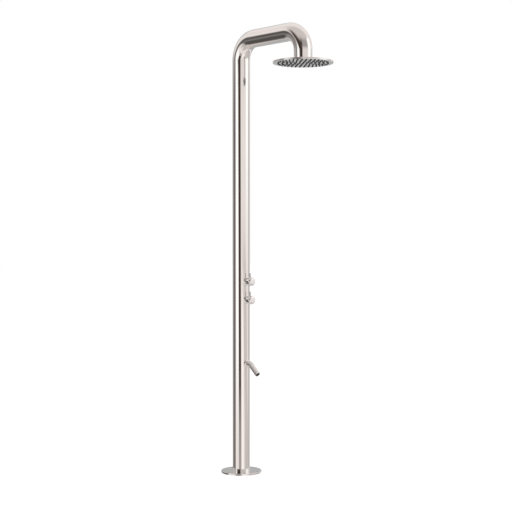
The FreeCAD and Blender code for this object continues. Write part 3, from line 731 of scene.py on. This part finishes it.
# %% Make the screen
SCREEN_RADIUS = 0.0093
SCREEN_PITCH = 0.0009
WIRE_RADIUS = 0.00014
WIRES = 23
SCREEN_INSET = 0.0044       # from the spout's mouth, behind the bars


def screen():
    wire_steel = brushed_metal("screen wire steel", (0.60, 0.60, 0.60), 0.25, (900.0, 900.0, 900.0))
    piece = run_tree("aerator_screen", screen_tree(), {
        "Radius": SCREEN_RADIUS, "Pitch": SCREEN_PITCH, "Wire": WIRE_RADIUS, "Wires": WIRES,
        "Material": wire_steel})
    bend = Vector((0, TAP_BEND_Y, TAP_Z))
    outward = Vector((0, -math.cos(SPOUT_LEAN), -math.sin(SPOUT_LEAN)))
    turn = outward.to_track_quat("Z", "X").to_matrix().to_4x4()
    piece.data.transform(Matrix.Translation(bend + outward * (SPOUT_REACH - SCREEN_INSET)) @ turn)
    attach(piece, "post")
    print("screen:", len(piece.data.polygons), "faces")


screen()

# %% [markdown]
# ## The studio
# Polished steel is photographed with large white and black cards. They could be real planes round the
# post, but a plane has a hard edge and a place, and here only the direction counts. So the cards are
# painted on the sky, as soft-edged patches that only reflections see. Bearings count from the viewer's
# side of the post, negative to the viewer's left, and both angles are in degrees.

# %% One card
CARD_SIZES = ("Centre", "Slant", "Half Width", "Low", "High", "Side Softness", "End Softness")
WARM = (1.0, 0.925, 0.90)
NEUTRAL = (1.0, 1.0, 1.0)
BROWN = (1.0, 0.72, 0.55)


def tone(level, tint=NEUTRAL):
    return tuple(level * channel for channel in tint) + (1,)


def card_group():
    """Node group: paints one soft-edged patch of the sky over what came before."""
    group = bpy.data.node_groups.new("sky card", "ShaderNodeTree")
    for name in ("Bearing", "Elevation", *CARD_SIZES):
        group.interface.new_socket(name, in_out="INPUT", socket_type="NodeSocketFloat")
    for name in ("Tone", "Before"):
        group.interface.new_socket(name, in_out="INPUT", socket_type="NodeSocketColor")
    group.interface.new_socket("After", in_out="OUTPUT", socket_type="NodeSocketColor")
    given = add(group, "NodeGroupInput").outputs

    def below(value, edge, softness):
        """1 below the edge, 0 above it, with a smooth change over the softness."""
        half = times(group, softness, 0.5)
        return fade(group, value, minus(group, edge, half), plus(group, edge, half))

    middle = times_plus(group, given["Elevation"], given["Slant"], given["Centre"])
    apart = maths(group, "WRAP", minus(group, given["Bearing"], middle), 180.0, -180.0)
    side = below(maths(group, "ABSOLUTE", apart), given["Half Width"], given["Side Softness"])
    top = below(given["Elevation"], given["High"], given["End Softness"])
    bottom = minus(group, 1.0, below(given["Elevation"], given["Low"], given["End Softness"]))
    cover = times(group, side, times(group, top, bottom))
    mix = add(group, "ShaderNodeMix", data_type="RGBA", Factor=cover, A=given["Before"], B=given["Tone"])
    add(group, "NodeGroupOutput", After=mix.outputs["Result"])
    return group


# %% [markdown]
# ## All the cards
# An upright tube shows the room as stripes: each strip of its width mirrors another bearing. A bend or
# a level arm shows other elevations of the same room. Reading the stripes of post, arm and bends
# backwards says which direction was light and which was dark. Each card below stands for one such light
# or dark part of the room.

# %% Cards
# name, centre, slant (degrees aside for each degree up), half width, low, high, softness of the sides and
# of the ends, level, tint. A later card covers an earlier one.
CARDS = [
    ("ceiling", -10, 0, 95, 33, 91, 50, 18, 0.68, WARM),
    ("near floor", -60, 0, 60, -90, -42, 30, 16, 0.62, WARM),
    ("front wall", 45, 0, 62, -60, 11, 12, 8, 0.93, WARM),
    ("upper front", 15, 0, 47, 13, 43, 34, 18, 0.41, WARM),
    ("dark ceiling", -50, 0, 40, 10, 33, 14, 18, 0.08, BROWN),
    ("right soft box", 82, 0, 19, 1, 42, 14, 10, 1.22, NEUTRAL),
    ("right floor", 33, -4.0, 24, -14, -0.5, 16, 4, 0.68, WARM),
    ("right floor low", 82, 0, 36, -70, -9, 14, 5, 0.64, WARM),
    ("floor light", 17, 0, 14, -30, -3, 10, 6, 1.14, WARM),
    ("soft box", -57, -0.6, 19, -8, 14, 8, 8, 1.2, NEUTRAL),
    ("left floor", -78, 0, 18, -50, -20, 16, 10, 0.58, WARM),
    ("floor shade", -16, 0, 17, -24, -8, 8, 5, 0.42, WARM),
    ("black card", -21.5, -0.5, 15.3, -9, 14, 6, 4, 0.06, BROWN),
    ("dark slope", -10, -2.5, 18, 8.4, 22, 8, 1.6, 0.05, BROWN),
    ("right corner", 117, 0, 13, -90, 9, 10, 8, 0.52, NEUTRAL),
    ("back wall", 195, 0, 33, 10, 38, 12, 8, 0.66, NEUTRAL),
    ("wall behind", 185, 0, 36, -90, 21, 10, 6, 0.50, NEUTRAL),
    ("doorway side", -122, 0, 18, -48, 10, 10, 10, 0.31, WARM),
    ("doorway", -94, 0, 13, -50, 11, 10, 12, 0.11, WARM),
    ("doorway sill", -98, 0, 16, -25, -9, 10, 4, 0.20, WARM),
    ("doorway foot", -110, 0, 18, -48, -23, 10, 6, 0.09, WARM),
]
print(len(CARDS), "cards")

# %% [markdown]
# ## The sky
# A render has several kinds of rays, and the sky answers each kind in its own way. The camera sees
# plain white, as in the photo. Mirror rays see the cards. Matt surfaces get one even light, a little
# less than white. A second sky for each kind isn't possible, so two Mix nodes choose by the kind of
# ray. Cycles doesn't have to search this sky for its bright spots, because the lamps at the end give
# the shadows.

# %% Sky with painted cards
BARE_SKY = 0.95             # between the cards
SKY_FOR_MATT = 0.75
SKY_FOR_CAMERA = 1.0


def sky_angles(tree):
    """Bearing and elevation of a ray, in degrees."""
    where = add(tree, "ShaderNodeTexCoord")
    turn = add(tree, "ShaderNodeVectorRotate", rotation_type="Z_AXIS", Vector=where.outputs["Generated"],
               Angle=-CAMERA_TURN)
    x, y, z = split_vector(tree, turn.outputs["Vector"])
    bearing = maths(tree, "DEGREES", maths(tree, "ARCTAN2", x, times(tree, y, -1.0)))
    return bearing, maths(tree, "DEGREES", maths(tree, "ARCSINE", z))


def painted_sky(tree):
    """All the cards, one over the other."""
    bearing, elevation = sky_angles(tree)
    group = card_group()
    sky = tone(BARE_SKY, WARM)
    for name, *sizes, level, tint in CARDS:
        card = add(tree, "ShaderNodeGroup", node_tree=group, label=name, Bearing=bearing,
                   Elevation=elevation, Tone=tone(level, tint), Before=sky)
        for socket, size in zip(CARD_SIZES, sizes):
            card.inputs[socket].default_value = size
        sky = card.outputs["After"]
    return sky


def studio_world():
    world = bpy.data.worlds.new("studio")
    world.use_nodes = True
    world.cycles.sampling_method = "NONE"
    bpy.context.scene.world = world
    tree = world.node_tree
    tree.nodes.clear()
    ray = add(tree, "ShaderNodeLightPath").outputs
    mirrored = maths(tree, "MAXIMUM", ray["Is Glossy Ray"], ray["Is Transmission Ray"])
    unseen = add(tree, "ShaderNodeMix", data_type="RGBA", Factor=mirrored, A=tone(SKY_FOR_MATT),
                 B=painted_sky(tree))
    seen = add(tree, "ShaderNodeMix", data_type="RGBA", Factor=ray["Is Camera Ray"],
               A=unseen.outputs["Result"], B=tone(SKY_FOR_CAMERA))
    background = add(tree, "ShaderNodeBackground", Color=seen.outputs["Result"])
    add(tree, "ShaderNodeOutputWorld", Surface=background.outputs["Background"])
    print("world:", len(tree.nodes), "nodes")


studio_world()

# %% [markdown]
# ## The floor
# The photo's ground is as white as its background, with no horizon. A white plane alone would go grey
# where the light falls off, so this one also glows for the camera. Mirror rays don't see it at all: the
# cards paint the ground that the steel reflects. It lies a little below the plate's underside, because
# two faces at the same height flicker.

# %% Floor
FLOOR_HALF = 30             # metres to each side
FLOOR_Z = -0.0005           # just below the plate's underside
FLOOR_COLOUR = (0.3, 0.3, 0.3, 1)
FLOOR_GLOW = 0.85


def floor():
    corners = [(-1, -1), (1, -1), (1, 1), (-1, 1)]
    mesh = bpy.data.meshes.new("floor")
    mesh.from_pydata([(FLOOR_HALF * x, FLOOR_HALF * y, FLOOR_Z) for x, y in corners], [], [(0, 1, 2, 3)])
    ground = made_piece("floor", mesh)
    material = bpy.data.materials.new("studio floor")
    material.use_nodes = True
    tree = material.node_tree
    tree.nodes.clear()
    diffuse = add(tree, "ShaderNodeBsdfDiffuse", Color=FLOOR_COLOUR)
    glow = add(tree, "ShaderNodeEmission", Strength=FLOOR_GLOW)
    both = add(tree, "ShaderNodeAddShader")
    fill(tree, both.inputs[0], diffuse.outputs[0])
    fill(tree, both.inputs[1], glow.outputs[0])
    pick = add(tree, "ShaderNodeMixShader", Fac=add(tree, "ShaderNodeLightPath").outputs["Is Camera Ray"])
    fill(tree, pick.inputs[1], diffuse.outputs[0])
    fill(tree, pick.inputs[2], both.outputs[0])
    add(tree, "ShaderNodeOutputMaterial", Surface=pick.outputs[0])
    mesh.materials.append(material)
    ground.visible_glossy = False
    print("floor at z", FLOOR_Z)


floor()

# %% [markdown]
# ## The ground under the plate
# Nothing lights the ground below the plate, and the anchor holes look down on it. The floor glows,
# though, so without help the holes would be white. A dark disc stands for the shade. It belongs to the
# studio, not to the object.

# %% Shade under the plate
SHADE_BOTTOM, SHADE_TOP = 0.0002, 0.0004
SHADE_INSET = 0.004         # from the plate's edge
SHADE_STEPS = 48
SHADE_COLOUR = (0.01, 0.01, 0.01)


def shade():
    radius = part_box("base_plate")[1][0] - SHADE_INSET
    disc = made_piece("ground_shade", lathe("ground_shade", [
        (0.0, SHADE_BOTTOM), (radius, SHADE_BOTTOM), (radius, SHADE_TOP), (0.0, SHADE_TOP)], SHADE_STEPS))
    material, _, _ = new_material("ground in shade", SHADE_COLOUR, 0.0, 1.0)
    disc.data.materials.append(material)
    print("shade radius", round(radius, 4))


shade()

# %% [markdown]
# ## Lamps
# Two large lamps give the matt pieces their form: a strong one from the left and a weak one from the
# right that opens the shadows. A sun would give hard shadows, and small lamps bright spots. Polished
# steel would show even these as bright squares, so mirror rays don't see them.

# %% Lamps
LAMP_AIM = Vector((0, 0, 1))


def lamp(name, place, size, power):
    data = bpy.data.lights.new(name, "AREA")
    data.size = size
    data.energy = power
    light = made_piece(name, data)
    light.location = place
    light.rotation_mode = "QUATERNION"
    light.rotation_quaternion = (LAMP_AIM - Vector(place)).to_track_quat("-Z", "Y")
    light.visible_glossy = False
    print("lamp", name, "at", place)


lamp("key", (-3.0, -2.0, 4.0), 2.5, 120)
lamp("fill", (3.5, -3.5, 3.0), 3.0, 60)
